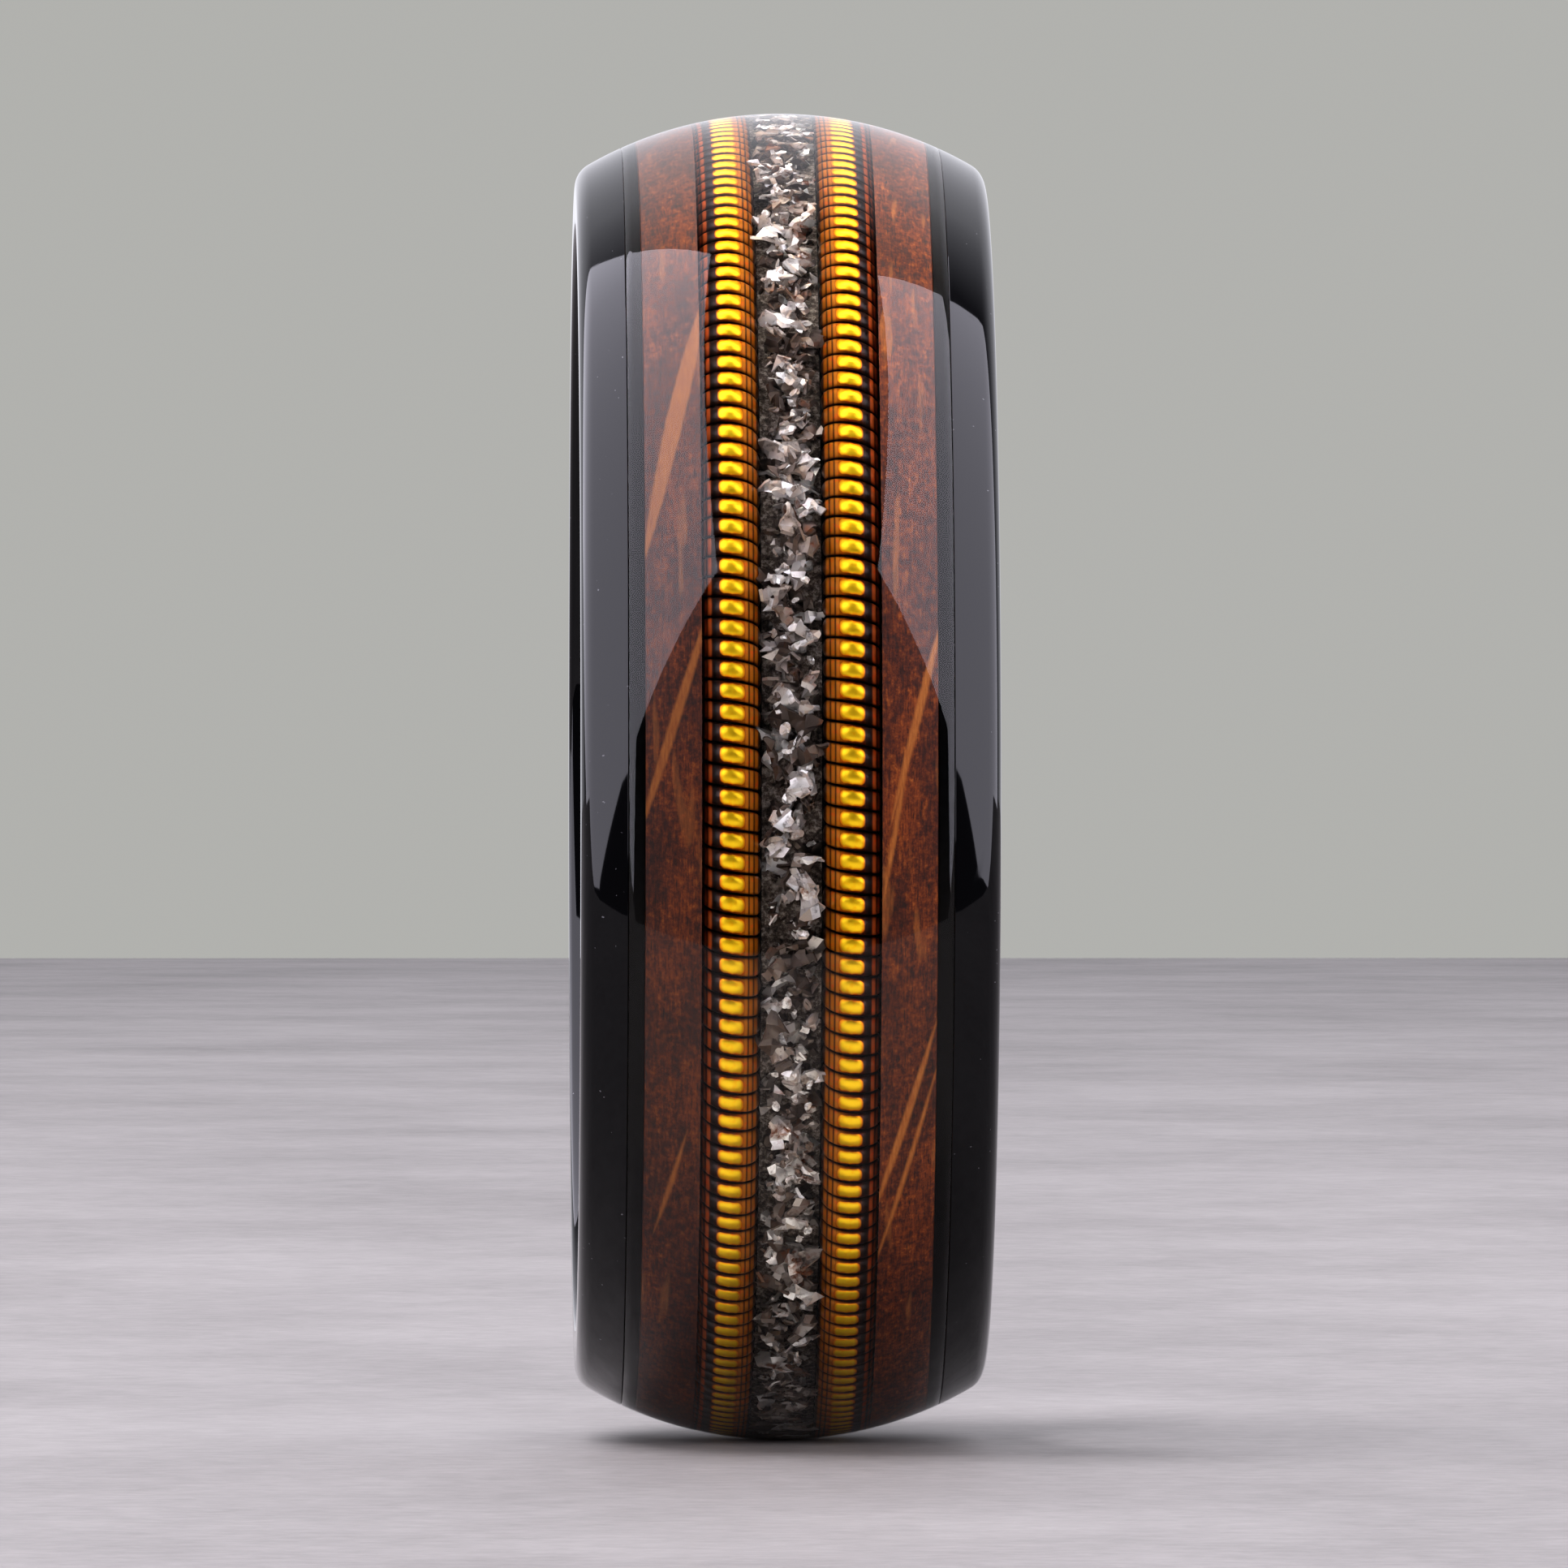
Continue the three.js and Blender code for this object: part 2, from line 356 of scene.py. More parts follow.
def string_bedding(side, material):
    """Black adhesive on the channel floor, hollowed to the string's shape."""
    lip = math.radians(20)
    hollow = arc(STRING_CENTRE, STRING_RING, STRING_RADIUS, -lip, lip - math.pi, 12)
    inner, outer = SHAVINGS_EDGE, OAK_INNER
    top = hollow[0][1]
    outline = [(inner, CHANNEL_FLOOR), (outer, CHANNEL_FLOOR), (outer, top), *hollow, (inner, top)]
    piece = turned(f"bedding_{side}", on_side(outline, side), CORE_STEPS)
    return finish_piece(piece, material, "black_adhesive", f"string_bedding_{side}")


def resin_dome(material):
    """The clear resin fills the channel and closes round everything in it."""
    edge = CHANNEL_EDGE + CLEARANCE / 4
    floor = CHANNEL_FLOOR - CLEARANCE / 4
    crown = dome_arc(edge - JOINT_GROOVE, JOINT_GROOVE - edge, 48)
    groove = dome_at(edge) - JOINT_GROOVE
    outline = [(-edge, floor), (edge, floor), (edge, groove), *crown, (-edge, groove)]
    return finish_piece(turned("clear_dome", outline), material, "clear_resin", "resin_dome")


# ---- Wound strings ----

def bent_round(piece, length, x):
    """Bends a straight piece that lies along X round the ring, its two ends meeting behind."""
    apply_modifier(piece, "SIMPLE_DEFORM", deform_method="BEND", deform_axis="Z",
                   angle=length / STRING_RING)
    middle = Matrix.Translation((0, -STRING_RING, 0))
    upright = Matrix.Rotation(TURN / 4, 4, "Y")
    set_in_place(piece, Matrix.Translation((x, 0, 0)) @ upright @ middle)


def wire_section():
    """Outline of the wound wire: a low rolled crown, small shoulders and upright sides."""
    top = STRING_RADIUS
    upright = TURN / 4
    crown_edge = WIRE_CROWN * math.sin(CROWN_LEAN)
    shoulder = (WIRE_HALF_WIDTH - crown_edge) / (1 - math.sin(CROWN_LEAN))
    shoulder_x = WIRE_HALF_WIDTH - shoulder
    shoulder_height = top - WIRE_CROWN + (WIRE_CROWN - shoulder) * math.cos(CROWN_LEAN)
    crown = arc(0, top - WIRE_CROWN, WIRE_CROWN, upright - CROWN_LEAN, upright, 3)
    corner = arc(shoulder_x, shoulder_height, shoulder, 0, upright - CROWN_LEAN, 3)
    right = [(shoulder_x, top - WIRE_HEIGHT), *corner, *crown[1:]]
    return [*right, *mirrored(right)[1:]]


def close_ends(piece, sides):
    pick_up(piece)
    bpy.ops.object.mode_set(mode="EDIT")
    bpy.ops.mesh.select_all(action="SELECT")
    bpy.ops.mesh.fill_holes(sides=sides)
    bpy.ops.mesh.select_all(action="SELECT")
    bpy.ops.mesh.normals_make_consistent(inside=False)
    bpy.ops.object.mode_set(mode="OBJECT")


def string_winding(side, x, material):
    """Flattened bronze wire wound left-handed round the core, then bent round the ring."""
    length = TURN * STRING_RING - CLEARANCE
    run = length - 2 * WIRE_HALF_WIDTH
    section = wire_section()
    draw_outline([Vector((along - run / 2, -height, 0)) for along, height in section])
    bpy.ops.object.mode_set(mode="OBJECT")
    piece = named(f"winding_{side}")
    apply_modifier(piece, "SCREW", axis="X", angle=-TURN, screw_offset=run / STRING_TURNS,
                   iterations=STRING_TURNS, steps=WIRE_STEPS, render_steps=WIRE_STEPS)
    close_ends(piece, len(section))
    bent_round(piece, length, x)
    pick_up(piece)
    bpy.ops.object.shade_smooth_by_angle(angle=math.radians(40))
    return finish_piece(piece, material, "string_bronze", f"string_winding_{side}")


def string_core(side, x, material):
    """The hexagonal steel wire inside a winding."""
    length = TURN * STRING_RING - CLEARANCE
    put_down()
    bpy.ops.mesh.primitive_cylinder_add(vertices=6, depth=length,
                                        radius=STRING_RADIUS - WIRE_HEIGHT - CLEARANCE)
    piece = named(f"core_{side}")
    set_in_place(piece, Matrix.Rotation(TURN / 4, 4, "Y"))
    bpy.ops.object.mode_set(mode="EDIT")
    for i in range(1, CORE_STEPS):
        bpy.ops.mesh.select_all(action="SELECT")
        bpy.ops.mesh.bisect(plane_co=(length * (i / CORE_STEPS - 0.5), 0, 0), plane_no=(1, 0, 0))
    bpy.ops.object.mode_set(mode="OBJECT")
    bent_round(piece, length, x)
    pick_up(piece)
    bpy.ops.object.shade_smooth_by_angle(angle=math.radians(30))
    return finish_piece(piece, material, "core_steel", f"string_core_{side}")


# ---- Metal shavings ----

CURLS = 6
CURL_SIZE = (0.4, 0.9), (0.12, 0.26)      # ranges of length and width, in millimetres
FLAKES = 4
FLAKE_SIZE = (0.5, 0.95), (0.24, 0.42)
CHIPS = 6
SHAVING_ROWS = 380                # rows of shavings round the ring
SHAVINGS_IN_ROW = 4               # one above the other, from the bed to the roof
SHAVINGS_ROOF = CROWN_RADIUS - 0.3 * MM
SHAVINGS_COVER = 0.06 * MM        # least resin over a shaving
SHAVINGS_MARGIN = 0.18 * MM       # from a shaving's middle to the edge of the bed, at least
SHAVING_LEAN = 0.35               # spread of a shaving's lean, in radians
SHAVING_SCALES = (0.6, 1.05)


def curled_blank(number, length, width):
    """One torn turning: a small pointed strip, twisted, bent and given a thickness."""
    draw = random.Random(100 + number)
    put_down()
    bpy.ops.mesh.primitive_grid_add(x_subdivisions=6, y_subdivisions=2, size=1,
                                    enter_editmode=True)
    bpy.ops.transform.resize(value=(draw.uniform(*length) * MM, draw.uniform(*width) * MM, 1))
    bpy.ops.transform.vertex_random(offset=0.05 * MM, uniform=1.0, seed=number)
    bpy.ops.object.mode_set(mode="OBJECT")
    piece = named(f"blank_{number}")
    tip = draw.uniform(0.2, 0.7)
    apply_modifier(piece, "SIMPLE_DEFORM", deform_method="TAPER", deform_axis="X", factor=tip)
    apply_modifier(piece, "SIMPLE_DEFORM", deform_method="TWIST", deform_axis="X",
                   angle=draw.uniform(-1.3, 1.3))
    apply_modifier(piece, "SIMPLE_DEFORM", deform_method="BEND", deform_axis="Y",
                   angle=draw.uniform(1.0, 3.6))
    apply_modifier(piece, "SOLIDIFY", thickness=draw.uniform(0.045, 0.09) * MM, offset=0)
    return piece


def chip_blank(number):
    """One thick torn chip: a small squashed lump."""
    draw = random.Random(200 + number)
    put_down()
    bpy.ops.mesh.primitive_ico_sphere_add(subdivisions=2, radius=0.5, enter_editmode=True)
    size = draw.uniform(0.16, 0.36) * MM
    bpy.ops.transform.resize(value=(size, size * draw.uniform(0.5, 0.8), size * 0.3))
    bpy.ops.transform.vertex_random(offset=0.03 * MM, uniform=1.0, seed=number)
    bpy.ops.object.mode_set(mode="OBJECT")
    return named(f"blank_{number}")


def scattered(blank, place, tone):
    """A copy of a blank with its own mesh, put in place, its tone kept on its corners."""
    copy = blank.copy()
    copy.data = blank.data.copy()
    bpy.context.scene.collection.objects.link(copy)
    copy.matrix_world = place
    marks = copy.data.attributes.new("tone", "FLOAT", "POINT")
    marks.data.foreach_set("value", [tone] * len(copy.data.vertices))
    return copy


def metal_shavings(material, nodes, dome):
    """Many small torn turnings, packed at all angles between the strings and under the dome."""
    blanks = [curled_blank(n, *CURL_SIZE) for n in range(CURLS)]
    blanks += [curled_blank(10 + n, *FLAKE_SIZE) for n in range(FLAKES)]
    blanks += [chip_blank(20 + n) for n in range(CHIPS)]
    draw = random.Random(7)
    depth = SHAVINGS_ROOF - BED_TOP
    room = SHAVINGS_EDGE - SHAVINGS_MARGIN
    copies = []
    for row in range(SHAVING_ROWS):
        for level in range(SHAVINGS_IN_ROW):
            blank = draw.choice(blanks)
            radius = BED_TOP + depth * (level + draw.random()) / SHAVINGS_IN_ROW
            turn_about_x = Matrix.Rotation(TURN * (row + draw.random()) / SHAVING_ROWS, 4, "X")
            out = Matrix.Translation((draw.uniform(-room, room), 0, radius))
            lean = Euler((draw.gauss(0, SHAVING_LEAN), draw.gauss(0, SHAVING_LEAN),
                          draw.uniform(0, TURN)), "XYZ")
            size = Matrix.Scale(draw.uniform(*SHAVING_SCALES), 4)
            place = turn_about_x @ out @ lean.to_matrix().to_4x4() @ size
            copies.append(scattered(blank, place, draw.random()))
    put_down()
    for copy in copies:
        copy.select_set(True)
    bpy.context.view_layer.objects.active = copies[0]
    bpy.ops.object.join()
    piece = named("shavings")
    bpy.ops.object.transform_apply(location=True, rotation=True, scale=True)
    apply_modifier(piece, "SHRINKWRAP", target=dome, wrap_method="NEAREST_SURFACEPOINT",
                   wrap_mode="INSIDE", offset=SHAVINGS_COVER)
    bpy.ops.object.shade_smooth_by_angle(angle=math.radians(30))
    for blank in blanks:
        bpy.data.objects.remove(blank)
    return finish_piece(piece, material, "shaving_steel", *nodes)


def shavings_bed(material):
    """Dark resin full of metal dust, with a rough top."""
    edge = SHAVINGS_EDGE + CLEARANCE
    top = [(edge - 2 * edge * i / 12, BED_TOP) for i in range(13)]
    outline = [(-edge, CHANNEL_FLOOR), (edge, CHANNEL_FLOOR), *top]
    piece = turned("dust_bed", outline, BED_STEPS)
    grit = bpy.data.textures.new("grit", "CLOUDS")
    grit.noise_scale = 0.12 * MM
    grit.noise_depth = 3
    apply_modifier(piece, "DISPLACE", texture=grit, strength=0.1 * MM, mid_level=0.5)
    return finish_piece(piece, material, "dark_resin", "shavings_bed")


# ---- Shader building ----

def place_node(tree, kind, inputs=None, **settings):
    """A node with its settings, its inputs given as sockets to link or as values."""
    node = tree.nodes.new(kind)
    for key, value in settings.items():
        setattr(node, key, value)
    for key, value in (inputs or {}).items():
        if isinstance(value, bpy.types.NodeSocket):
            tree.links.new(value, node.inputs[key])
        else:
            node.inputs[key].default_value = value
    return node


def calc(tree, operation, *values, clamp=False):
    node = place_node(tree, "ShaderNodeMath", dict(enumerate(values)), operation=operation)
    node.use_clamp = clamp
    return node.outputs[0]


def blend_colours(tree, factor, first, second, kind="MIX"):
    node = place_node(tree, "ShaderNodeMix", {0: factor, 6: first, 7: second},
                      data_type="RGBA", blend_type=kind)
    return node.outputs[2]


def ramp(tree, value, stops):
    """A value turned into a colour by (position, colour) stops."""
    node = place_node(tree, "ShaderNodeValToRGB", {0: value})
    points = node.color_ramp.elements
    while len(points) < len(stops):
        points.new(0.5)
    for point, (position, shade) in zip(points, stops):
        point.position = position
        point.color = shade
    return node.outputs["Color"]


def mask(tree, value, low, high):
    """0 where the value is under low, 1 where it is over high, and smooth between."""
    node = place_node(tree, "ShaderNodeMapRange",
                      {"Value": value, "From Min": low, "From Max": high},
                      interpolation_type="SMOOTHSTEP")
    return node.outputs["Result"]


def noise(tree, vector, scale, detail=4.0, roughness=0.55):
    node = place_node(tree, "ShaderNodeTexNoise",
                      {"Vector": vector, "Scale": scale, "Detail": detail,
                       "Roughness": roughness})
    return node.outputs["Fac"]


def stretched(tree, vector, along, across, outward):
    node = place_node(tree, "ShaderNodeMapping",
                      {"Vector": vector, "Scale": (along, across, outward)})
    return node.outputs["Vector"]


def bump(tree, height, strength, distance):
    node = place_node(tree, "ShaderNodeBump",
                      {"Height": height, "Strength": strength, "Distance": distance})
    return node.outputs["Normal"]


def new_group(name, inputs, outputs):
    """A shader node group with (name, kind, default) inputs and (name, kind) outputs."""
    tree = bpy.data.node_groups.new(name, "ShaderNodeTree")
    for socket, kind, default in inputs:
        made = tree.interface.new_socket(socket, in_out="INPUT", socket_type=kind)
        if default is not None:
            made.default_value = default
    for socket, kind in outputs:
        tree.interface.new_socket(socket, in_out="OUTPUT", socket_type=kind)
    start = tree.nodes.new("NodeGroupInput")
    end = tree.nodes.new("NodeGroupOutput")
    return tree, start.outputs, end.inputs


def use_group(tree, group, inputs):
    return place_node(tree, "ShaderNodeGroup", inputs, node_tree=group).outputs


def new_material(name, **surface):
    """A material with one Principled BSDF, whose plain values are set on its own sockets."""
    material = bpy.data.materials.new(name)
    material.use_nodes = True
    tree = material.node_tree
    tree.nodes.clear()
    shader = place_node(tree, "ShaderNodeBsdfPrincipled",
                        {key.replace("_", " "): value for key, value in surface.items()})
    place_node(tree, "ShaderNodeOutputMaterial", {"Surface": shader.outputs["BSDF"]})
    point = place_node(tree, "ShaderNodeTexCoord").outputs["Object"]
    return material, tree, shader, point


FLOAT, VECTOR = "NodeSocketFloat", "NodeSocketVector"


def ring_coordinates():
    """Turns a point into millimetres along the ring from its front, across it and out from it."""
    tree, given, result = new_group("ring_coordinates", [("Point", VECTOR, None)],
                                    [("Vector", VECTOR), ("Along", FLOAT), ("Across", FLOAT),
                                     ("Outward", FLOAT)])
    split = place_node(tree, "ShaderNodeSeparateXYZ", {"Vector": given["Point"]}).outputs
    front = calc(tree, "MULTIPLY", split["Y"], -1.0)
    angle = calc(tree, "ARCTAN2", split["Z"], front)
    along = calc(tree, "MULTIPLY", angle, CROWN_RADIUS / MM)
    across = calc(tree, "DIVIDE", split["X"], MM)
    flat = place_node(tree, "ShaderNodeCombineXYZ", {"X": split["Y"], "Y": split["Z"]}).outputs[0]
    length = place_node(tree, "ShaderNodeVectorMath", {0: flat}, operation="LENGTH")
    outward = calc(tree, "DIVIDE", length.outputs["Value"], MM)
    joined = place_node(tree, "ShaderNodeCombineXYZ", {"X": along, "Y": across, "Z": outward})
    tree.links.new(joined.outputs[0], result["Vector"])
    tree.links.new(along, result["Along"])
    tree.links.new(across, result["Across"])
    tree.links.new(outward, result["Outward"])
    return tree


def ray_fleck():
    """One long light fleck of oak: a slim leaning spindle with soft edges."""
    tree, given, result = new_group(
        "ray_fleck",
        [("Along", FLOAT, 0.0), ("Across", FLOAT, 0.0), ("Middle Along", FLOAT, 0.0),
         ("Middle Across", FLOAT, 0.0), ("Lean", FLOAT, 0.3), ("Length", FLOAT, 3.0),
         ("Width", FLOAT, 0.3)],
        [("Mask", FLOAT)])
    along = calc(tree, "SUBTRACT", given["Along"], given["Middle Along"])
    across = calc(tree, "SUBTRACT", given["Across"], given["Middle Across"])
    leaned = calc(tree, "SUBTRACT", across, calc(tree, "MULTIPLY", along, given["Lean"]))
    end = calc(tree, "DIVIDE", along, calc(tree, "MULTIPLY", given["Length"], 0.5))
    swell = calc(tree, "SUBTRACT", 1.0, calc(tree, "POWER", calc(tree, "ABSOLUTE", end), 2.0),
                 clamp=True)
    half = calc(tree, "MULTIPLY", calc(tree, "MULTIPLY", given["Width"], 0.5), swell)
    inside = calc(tree, "SUBTRACT", half, calc(tree, "ABSOLUTE", leaned))
    edge = mask(tree, inside, -0.02, 0.05)
    tree.links.new(calc(tree, "MULTIPLY", edge, mask(tree, swell, 0.0, 0.2)), result["Mask"])
    return tree


def polish():
    """Hand polish: faint waves in the surface, fine hairlines and a few specks of dust."""
    tree, given, result = new_group(
        "polish", [("Point", VECTOR, None), ("Roughness", FLOAT, 0.03)],
        [("Roughness", FLOAT), ("Dust", FLOAT), ("Height", FLOAT)])
    waves = noise(tree, given["Point"], 380.0, 1.0)
    hair_lines = noise(tree, stretched(tree, given["Point"], 2500, 9000, 600), 1.0, 3.0)
    worn = calc(tree, "MULTIPLY", mask(tree, hair_lines, 0.58, 0.75), 0.05)
    tree.links.new(calc(tree, "ADD", given["Roughness"], worn), result["Roughness"])
    specks = noise(tree, given["Point"], 14000.0, 0.0)
    tree.links.new(mask(tree, specks, 0.86, 0.88), result["Dust"])
    tree.links.new(waves, result["Height"])
    return tree


GROUPS = {}


def group(maker):
    if maker.__name__ not in GROUPS:
        GROUPS[maker.__name__] = maker()
    return GROUPS[maker.__name__]


# ---- Materials ----

def black_ceramic():
    material, tree, shader, point = new_material("black_ceramic", IOR=1.38)
    polished = use_group(tree, group(polish), {"Point": point, "Roughness": 0.03})
    shade = blend_colours(tree, polished["Dust"], colour("0b0b0d"), colour("5c5c60"))
    tree.links.new(shade, shader.inputs["Base Color"])
    tree.links.new(polished["Roughness"], shader.inputs["Roughness"])
    tree.links.new(bump(tree, polished["Height"], 0.25, 0.004 * MM), shader.inputs["Normal"])
    return material


def clear_resin():
    material, tree, shader, point = new_material("clear_resin", IOR=1.35, Roughness=0.0,
                                                 Transmission_Weight=1.0,
                                                 Base_Color=colour("fffefa"))
    polished = use_group(tree, group(polish), {"Point": point, "Roughness": 0.0})
    tree.links.new(bump(tree, polished["Height"], 0.25, 0.004 * MM), shader.inputs["Normal"])
    return material


def black_adhesive():
    material, tree, shader, point = new_material("black_adhesive", IOR=1.5,
                                                 Specular_IOR_Level=0.1)
    grain = noise(tree, point, 6000.0)
    tree.links.new(ramp(tree, grain, [(0.3, colour("020203")), (0.8, colour("0b0b0f"))]),
                   shader.inputs["Base Color"])
    tree.links.new(calc(tree, "MULTIPLY_ADD", grain, 0.3, 0.25), shader.inputs["Roughness"])
    return material


def oak_grain(tree, ring, fine, grain):
    """The reddish-brown ground of the oak, with warm patches and fine dark pores."""
    wood = ramp(tree, grain, [(0.36, colour("300c02")), (0.46, colour("6c2c06")),
                              (0.55, colour("aa5618")), (0.66, colour("f09c40"))])
    specks = ramp(tree, noise(tree, ring["Vector"], 24.0, 2.0, 0.6),
                  [(0.34, colour("b4aca4")), (0.60, colour("ffffff"))])
    wood = blend_colours(tree, 0.5, wood, specks, "MULTIPLY")
    broad = noise(tree, stretched(tree, ring["Vector"], 0.5, 1.3, 1.3), 1.0, 3.0)
    shade = ramp(tree, broad, [(0.35, colour("b09a92")), (0.6, colour("ffffff"))])
    wood = blend_colours(tree, 0.9, wood, shade, "MULTIPLY")
    warm = calc(tree, "MULTIPLY", mask(tree, broad, 0.55, 0.70), mask(tree, fine, 0.35, 0.65))
    wood = blend_colours(tree, calc(tree, "MULTIPLY", warm, 0.5), wood, colour("b8601c"))
    pores = noise(tree, stretched(tree, ring["Vector"], 2.2, 30.0, 30.0), 1.0, 2.0)
    return blend_colours(tree, mask(tree, pores, 0.64, 0.72), wood, colour("200a04"))


def oak_flecks(tree, ring, flecks):
    """Where the light flecks are: the listed ones, and faint ones strewn over the rest."""
    leaning = place_node(tree, "ShaderNodeMapping",
                         {"Vector": ring["Vector"], "Rotation": (0, 0, math.radians(17)),
                          "Scale": (0.42, 3.2, 1.0)}).outputs["Vector"]
    strewn = mask(tree, noise(tree, leaning, 1.0, 2.0, 0.4), 0.62, 0.70)
    light = calc(tree, "MULTIPLY", strewn, 0.45)
    for middle_along, middle_across, lean, length, width in flecks:
        one = use_group(tree, group(ray_fleck),
                        {"Along": ring["Along"], "Across": ring["Across"],
                         "Middle Along": middle_along, "Middle Across": middle_across,
                         "Lean": lean, "Length": length, "Width": width})["Mask"]
        light = calc(tree, "MAXIMUM", light, one)
    return light


def oak(side, tone, flecks):
    """Quarter-sawn oak: dark mottled grain along the strip and light flecks leaning across it."""
    material, tree, shader, point = new_material(f"oak_{side}", IOR=1.45)
    ring = use_group(tree, group(ring_coordinates), {"Point": point})
    fine = noise(tree, stretched(tree, ring["Vector"], 3.0, 20.0, 20.0), 1.0, 6.0, 0.7)
    mottled = noise(tree, ring["Vector"], 6.5, 6.0, 0.74)
    grain = calc(tree, "MULTIPLY_ADD", mottled, 0.6, calc(tree, "MULTIPLY", fine, 0.4))
    light = calc(tree, "MULTIPLY", oak_flecks(tree, ring, flecks), 0.9)
    fleck_shade = ramp(tree, fine, [(0.3, colour("c87834")), (0.7, colour("f8b064"))])
    wood = blend_colours(tree, light, oak_grain(tree, ring, fine, grain), fleck_shade)
    tree.links.new(blend_colours(tree, 1.0, wood, colour(tone), "MULTIPLY"),
                   shader.inputs["Base Color"])
    tree.links.new(calc(tree, "MULTIPLY_ADD", grain, 0.3, 0.4), shader.inputs["Roughness"])
    tree.links.new(bump(tree, grain, 0.5, 0.02 * MM), shader.inputs["Normal"])
    return material


# The string's painted highlight, painted reflections and painted shade, in millimetres across the
# string from its middle and down from its crown.
CROWN_HIGHLIGHT_WIDTH = 0.242              # from the middle to the edge of the bright crown
CROWN_HIGHLIGHT_DEPTH = 0.038              # how far down into a groove the bright crown reaches
REFLECTION_LINE_PITCH = 0.095               # between the fine dark lines of the flanks


def painted_flank_light(tree, outwards, flank, depth):
    """Painted light on the wire beside its crown: painted reflections, brown with fine dark lines
    and with a dark gap and orange fringe on the outer side, and painted shade dark in the grooves.
    """
    place = calc(tree, "MULTIPLY_ADD", outwards, 0.5 * MM / STRING_RADIUS, 0.5)
    # Painted reflection across the wire: brown-orange on the inner flank, painted shade as a dark
    # gap on the outer flank, and an orange fringe beyond it.
    tint = ramp(tree, place, [(0.02, colour("2a140a")), (0.08, colour("b86c0e")),
                              (0.27, colour("cc7e14")), (0.50, colour("7a3c08")),
                              (0.73, colour("4a200a")), (0.77, colour("170c0a")),
                              (0.82, colour("170c0a")), (0.85, colour("b85c28")),
                              (0.93, colour("b85c28")), (0.97, colour("1c0d0a"))])
    # Painted reflections: fine dark lines along the flanks.
    reflection_ridges = calc(tree, "SINE", calc(tree, "MULTIPLY", outwards, TURN / REFLECTION_LINE_PITCH))
    lines = calc(tree, "MULTIPLY", mask(tree, reflection_ridges, -0.1, -0.8), flank)
    tint = blend_colours(tree, calc(tree, "MULTIPLY", lines, 0.8), tint, colour("220d06"))
    # Painted shade: darker the deeper into a groove between turns.
    return blend_colours(tree, mask(tree, depth, 0.035, 0.085), tint, colour("180907"))


def string_bronze():
    """Rolled bronze wire with painted light: a painted highlight on the string's crown, painted
    reflections in brown on its flanks, and painted shade dark in its grooves.
    """
    material, tree, shader, point = new_material("string_bronze")
    ring = use_group(tree, group(ring_coordinates), {"Point": point})
    outwards = calc(tree, "SUBTRACT", calc(tree, "ABSOLUTE", ring["Across"]), STRING_CENTRE / MM)
    upwards = calc(tree, "SUBTRACT", ring["Outward"], STRING_RING / MM)
    from_core = calc(tree, "SQRT", calc(tree, "ADD", calc(tree, "MULTIPLY", outwards, outwards),
                                        calc(tree, "MULTIPLY", upwards, upwards)))
    depth = calc(tree, "SUBTRACT", STRING_RADIUS / MM, from_core, clamp=True)
    aside = calc(tree, "ABSOLUTE", outwards)
    flank = mask(tree, aside, 0.21, 0.25)
    off_crown_highlight = calc(tree, "ADD",
                     calc(tree, "POWER", calc(tree, "DIVIDE", aside, CROWN_HIGHLIGHT_WIDTH), 4.0),
                     calc(tree, "POWER", calc(tree, "DIVIDE", depth, CROWN_HIGHLIGHT_DEPTH), 2.0))
    # Painted highlight: bright yellow in the middle of each turn's crown, darkening to orange at its
    # edges.
    crown = ramp(tree, off_crown_highlight, [(0.25, colour("ffd41e")), (0.7, colour("f49a08")),
                                   (1.0, colour("a85408"))])
    # Outside the painted highlight, the wire takes the painted flank reflections and groove shade.
    tint = blend_colours(tree, mask(tree, off_crown_highlight, 1.15, 0.85),
                         painted_flank_light(tree, outwards, flank, depth), crown)
    spots = noise(tree, point, 9000.0, 3.0)
    tint = blend_colours(tree, mask(tree, spots, 0.5, 0.75), tint, colour("d9a030"), "OVERLAY")
    tree.links.new(tint, shader.inputs["Base Color"])
    tree.links.new(calc(tree, "MULTIPLY_ADD", flank, -0.45, 0.7), shader.inputs["Metallic"])
    tree.links.new(calc(tree, "MULTIPLY_ADD", spots, 0.2, 0.26), shader.inputs["Roughness"])
    return material


def core_steel():
    material, tree, shader, point = new_material("core_steel", Metallic=1.0)
    drawn = noise(tree, stretched(tree, point, 9000, 700, 700), 1.0, 3.0)
    tree.links.new(ramp(tree, drawn, [(0.3, colour("8a8884")), (0.7, colour("b5b4b0"))]),
                   shader.inputs["Base Color"])
    tree.links.new(calc(tree, "MULTIPLY_ADD", drawn, 0.2, 0.2), shader.inputs["Roughness"])
    return material


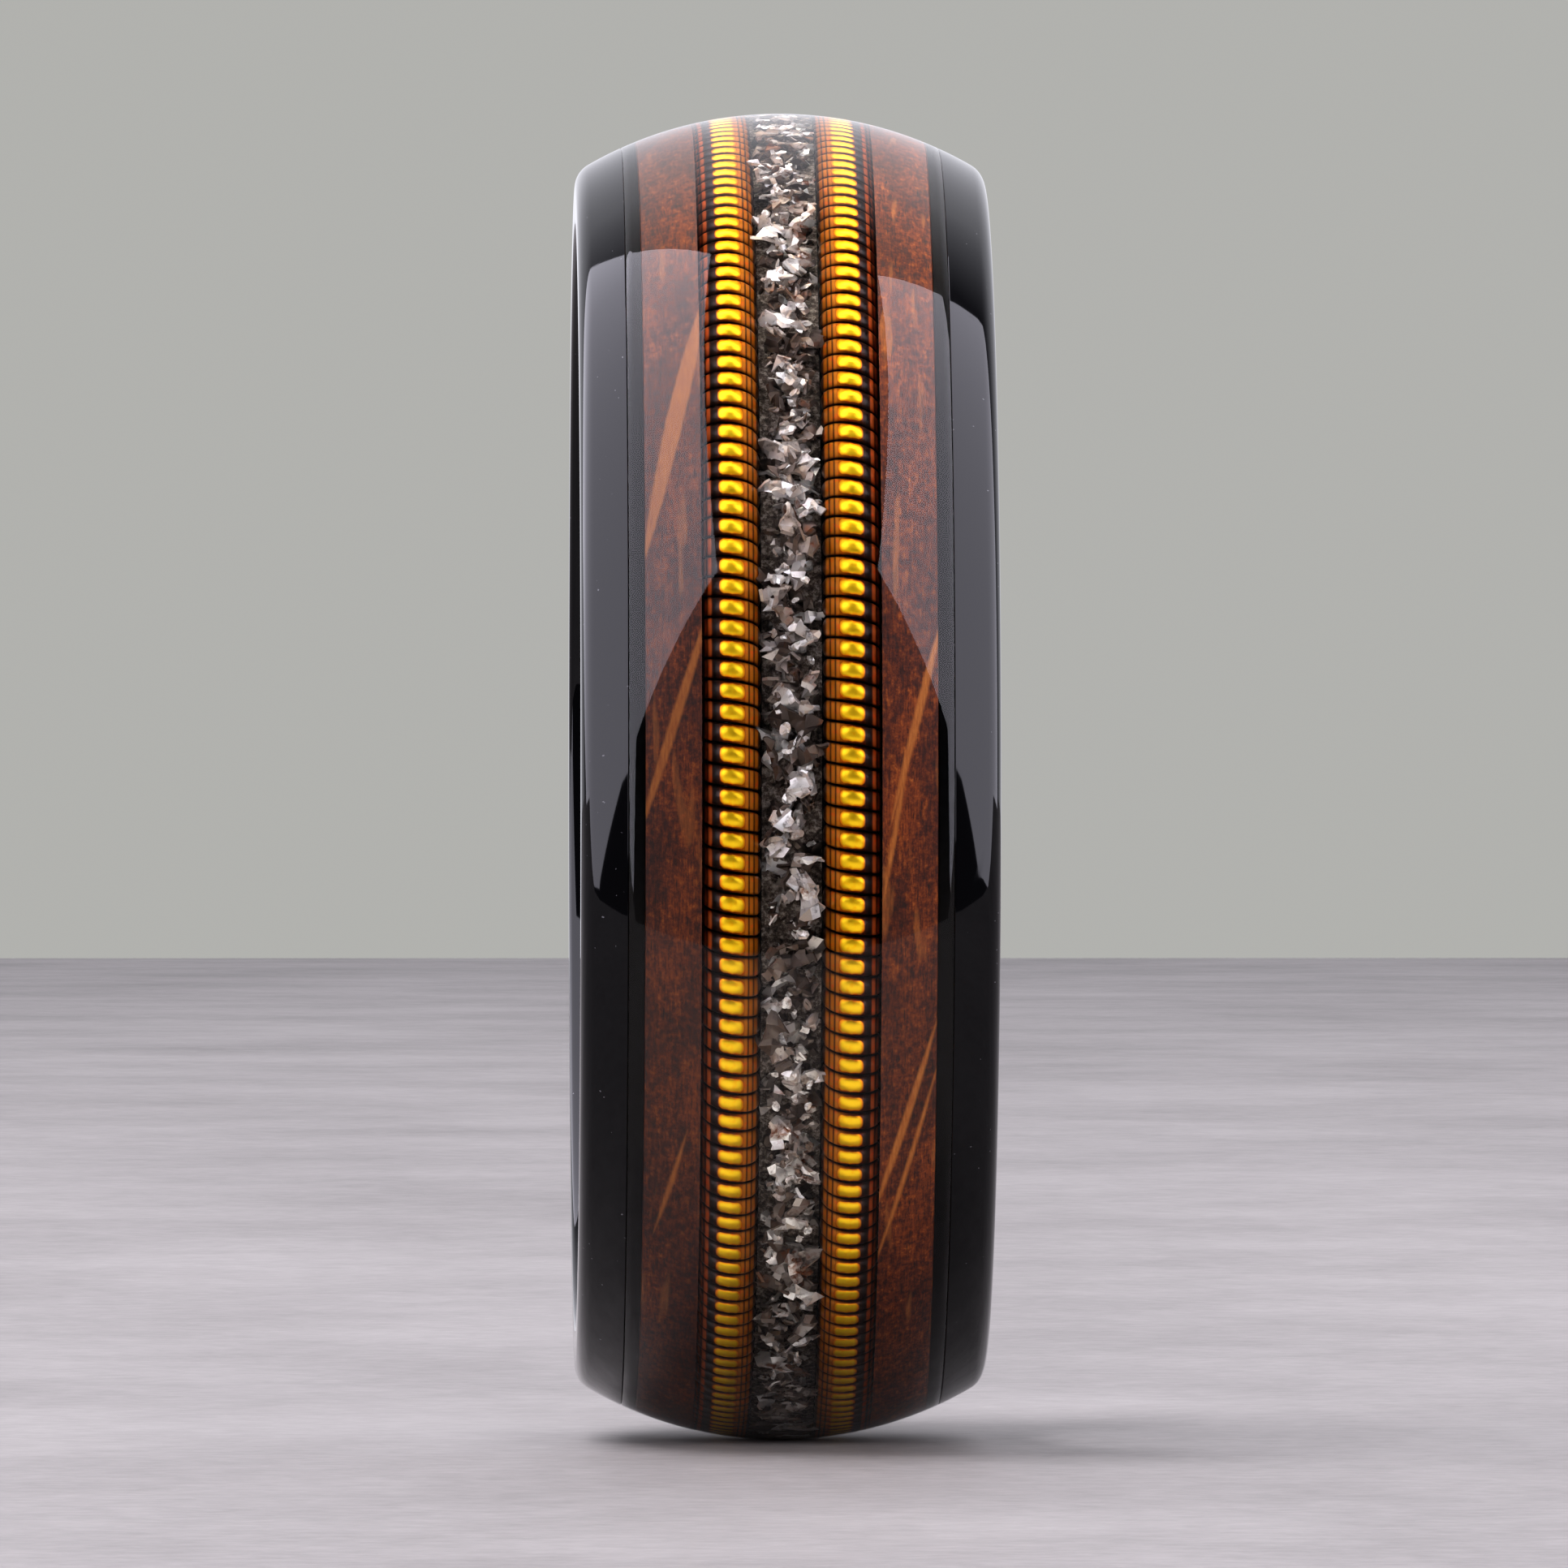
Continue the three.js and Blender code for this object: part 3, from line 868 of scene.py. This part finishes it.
def shaving_steel():
    """Torn steel: each piece has its own tone, with dull streaks and a little rust."""
    material, tree, shader, point = new_material("shaving_steel", Metallic=0.6)
    tone = place_node(tree, "ShaderNodeAttribute", attribute_name="tone").outputs["Fac"]
    steel = ramp(tree, tone, [(0.0, colour("4a403c")), (0.35, colour("93877f")),
                              (0.60, colour("d0cbc8")), (0.85, colour("ffffff"))])
    streaks = noise(tree, point, 5200.0, 5.0, 0.7)
    steel = blend_colours(tree, mask(tree, streaks, 0.5, 0.75), steel, colour("5a514d"))
    rust = calc(tree, "MULTIPLY", mask(tree, noise(tree, point, 1500.0, 3.0), 0.57, 0.70),
                mask(tree, streaks, 0.35, 0.6))
    steel = blend_colours(tree, rust, steel, colour("8a5434"))
    tree.links.new(steel, shader.inputs["Base Color"])
    tree.links.new(calc(tree, "MULTIPLY_ADD", streaks, 0.3, 0.25), shader.inputs["Roughness"])
    tree.links.new(bump(tree, streaks, 0.6, 0.02 * MM), shader.inputs["Normal"])
    return material


def dusty_resin():
    material, tree, shader, point = new_material("dusty_resin", IOR=1.5, Metallic=0.2,
                                                 Roughness=0.5)
    dust = noise(tree, point, 9000.0, 4.0, 0.8)
    shade = ramp(tree, dust, [(0.36, colour("2c2522")), (0.50, colour("74675f")),
                              (0.64, colour("d0c6be"))])
    tree.links.new(shade, shader.inputs["Base Color"])
    tree.links.new(bump(tree, dust, 0.8, 0.03 * MM), shader.inputs["Normal"])
    return material


def stone_floor():
    material, tree, shader, point = new_material("pale_floor", Roughness=0.6)
    patches = noise(tree, stretched(tree, point, 60, 25, 60), 1.0, 8.0, 0.72)
    grit = noise(tree, point, 1400.0, 5.0, 0.75)
    mottling = calc(tree, "MULTIPLY_ADD", grit, 0.35, calc(tree, "MULTIPLY", patches, 0.65))
    shade = ramp(tree, mottling, [(0.36, colour("8f8a89")), (0.64, colour("b4afae"))])
    tree.links.new(shade, shader.inputs["Base Color"])
    return material


FLOOR_WIDTH = 1200 * MM
FLOOR_BACK = 1060 * MM           # from the ring to the floor's back edge
FLOOR_FRONT = 80 * MM            # from the ring to the floor's front edge
MIRRORED_FRONT = 28 * MM         # how far in front of the ring's middle it mirrors the floor


def floor_piece(name, front, back, material):
    put_down()
    bpy.ops.mesh.primitive_plane_add(size=1)
    floor = named(name)
    place = Matrix.Translation((0, (front + back) / 2, -CROWN_RADIUS))
    set_in_place(floor, place @ Matrix.Diagonal((FLOOR_WIDTH, back - front, 1, 1)))
    floor.data.materials.append(material)
    return floor


def stage():
    """The floor, in two pieces: the ring mirrors the one that it stands on, and not the front."""
    stone = stone_floor()
    floor = floor_piece("floor", -MIRRORED_FRONT, FLOOR_BACK, stone)
    front = floor_piece("floor_front", -FLOOR_FRONT, -MIRRORED_FRONT, stone)
    front.visible_glossy = False
    return floor, front


# ---- Assembly ----

# Ray flecks of the front: middle along the ring and across it, lean, length and width, in mm.
LEFT_FLECKS = [
    (7.4, -2.10, 0.20, 6.8, 0.36),
    (1.1, -2.15, 0.30, 5.2, 0.21),
    (-8.5, -2.2, 0.22, 3.0, 0.12),
]
RIGHT_FLECKS = [
    (1.2, 2.32, 0.24, 4.6, 0.18),
    (-1.0, 1.90, 0.16, 4.0, 0.12),
    (-7.0, 2.12, 0.27, 4.8, 0.17),
    (-8.2, 2.15, 0.24, 5.4, 0.12),
]

camera()
studio(stage())

ceramic_band(black_ceramic())
adhesive, bronze, steel = black_adhesive(), string_bronze(), core_steel()
for side, sign, tone, flecks in (("left", -1, "ac9c80", LEFT_FLECKS),
                                 ("right", 1, "d4c4a4", RIGHT_FLECKS)):
    edge_seam(side, adhesive)
    string_bedding(side, adhesive)
    oak_strip(side, oak(side, tone, flecks))
    string_winding(side, sign * STRING_CENTRE, bronze)
    string_core(side, sign * STRING_CENTRE, steel)
shavings_bed(dusty_resin())
shaving_nodes = sorted(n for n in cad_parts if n.startswith("metal_shaving"))
metal_shavings(shaving_steel(), shaving_nodes, resin_dome(clear_resin()))
